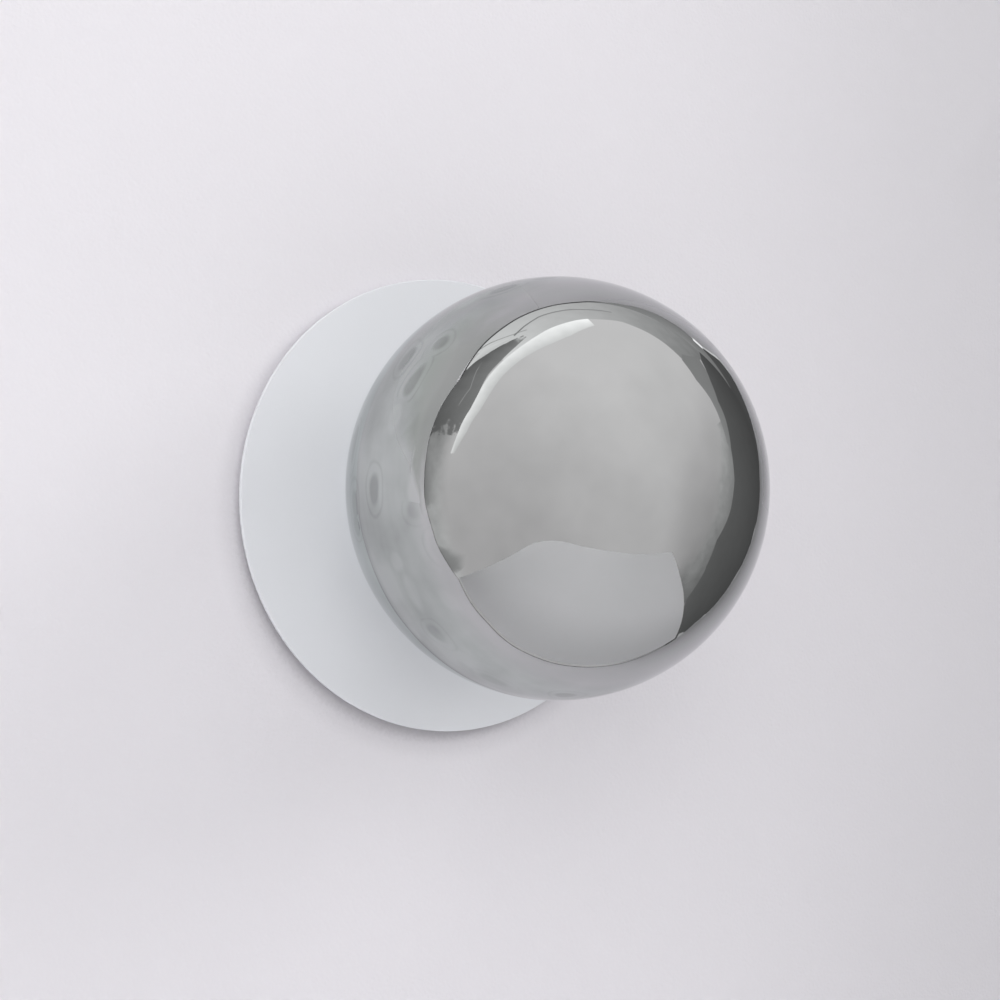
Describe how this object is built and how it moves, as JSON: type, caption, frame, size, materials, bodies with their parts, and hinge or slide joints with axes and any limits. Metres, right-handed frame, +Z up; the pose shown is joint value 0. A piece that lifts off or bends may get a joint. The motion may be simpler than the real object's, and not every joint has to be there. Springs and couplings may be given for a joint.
{
  "type": "wall lamp",
  "caption": "Wall lamp: a mirror-coated glass ball screwed into a collar on a thin round white back plate, with its lampholder, light source and wiring inside the ball.",
  "frame": {"origin": "middle of the lamp on the wall, on the back face of the backing disc", "axes": "+Y into the wall, so that the lamp stands out along -Y, +Z up and +X to the right as seen from the room"},
  "size_m": [0.18, 0.155, 0.18],
  "materials": {
    "white_paint": "fine matt powder coat",
    "mirror_glass": "blown glass, silvered",
    "foam": "closed-cell foam",
    "silicone": "soft translucent",
    "black_rubber": "matt",
    "zinc_steel": "zinc plated",
    "brass": "nickel-free, turned",
    "terminal_plastic": "moulded",
    "porcelain": "unglazed",
    "live_insulation": "silicone, brown",
    "neutral_insulation": "silicone, blue",
    "bulb_white": "moulded",
    "bulb_clear": "lightly frosted",
    "circuit_board": "white solder mask",
    "phosphor": "phosphor coat"
  },
  "bodies": {
    "fixture": {"backing_disc": "foam", "back_plate": "white_paint", "globe_collar": "white_paint", "collar_screws": "zinc_steel", "cover_cup": "white_paint", "cup_screws": "zinc_steel", "cable_bush": "black_rubber", "terminal_block": "terminal_plastic", "terminal_clamps": "brass", "terminal_screws": "zinc_steel", "block_screws": "zinc_steel", "earth_strap": "zinc_steel", "earth_screw": "brass", "live_lead": "live_insulation", "neutral_lead": "neutral_insulation", "lampholder": "porcelain", "lampholder_contacts": "brass", "lampholder_screws": "zinc_steel", "lampholder_nuts": "zinc_steel"},
    "gasket": {"neck_gasket": "silicone"},
    "globe": {"glass_globe": "mirror_glass"},
    "bulb": {"bulb_base": "bulb_white", "bulb_pins": "zinc_steel", "bulb_cover": "bulb_clear", "bulb_board": "circuit_board", "bulb_chips": "phosphor"}
  },
  "joints": [
    {"name": "globe_turn", "type": "hinge", "parent": "fixture", "child": "gasket", "pos_m": [0, -0.005, 0], "axis": [0, -1, 0], "range_deg": [0, 540]},
    {"name": "globe_draw", "type": "slide", "parent": "gasket", "child": "globe", "axis": [0, -1, 0], "range_m": [0, 0.0075]},
    {"name": "bulb_pull", "type": "slide", "parent": "fixture", "child": "bulb", "axis": [0, -1, 0], "range_m": [0, 0.018]}
  ],
  "couplings": [
    {"joint": "globe_draw", "follows": "globe_turn", "m_per_rad": 0.00079577}
  ]
}
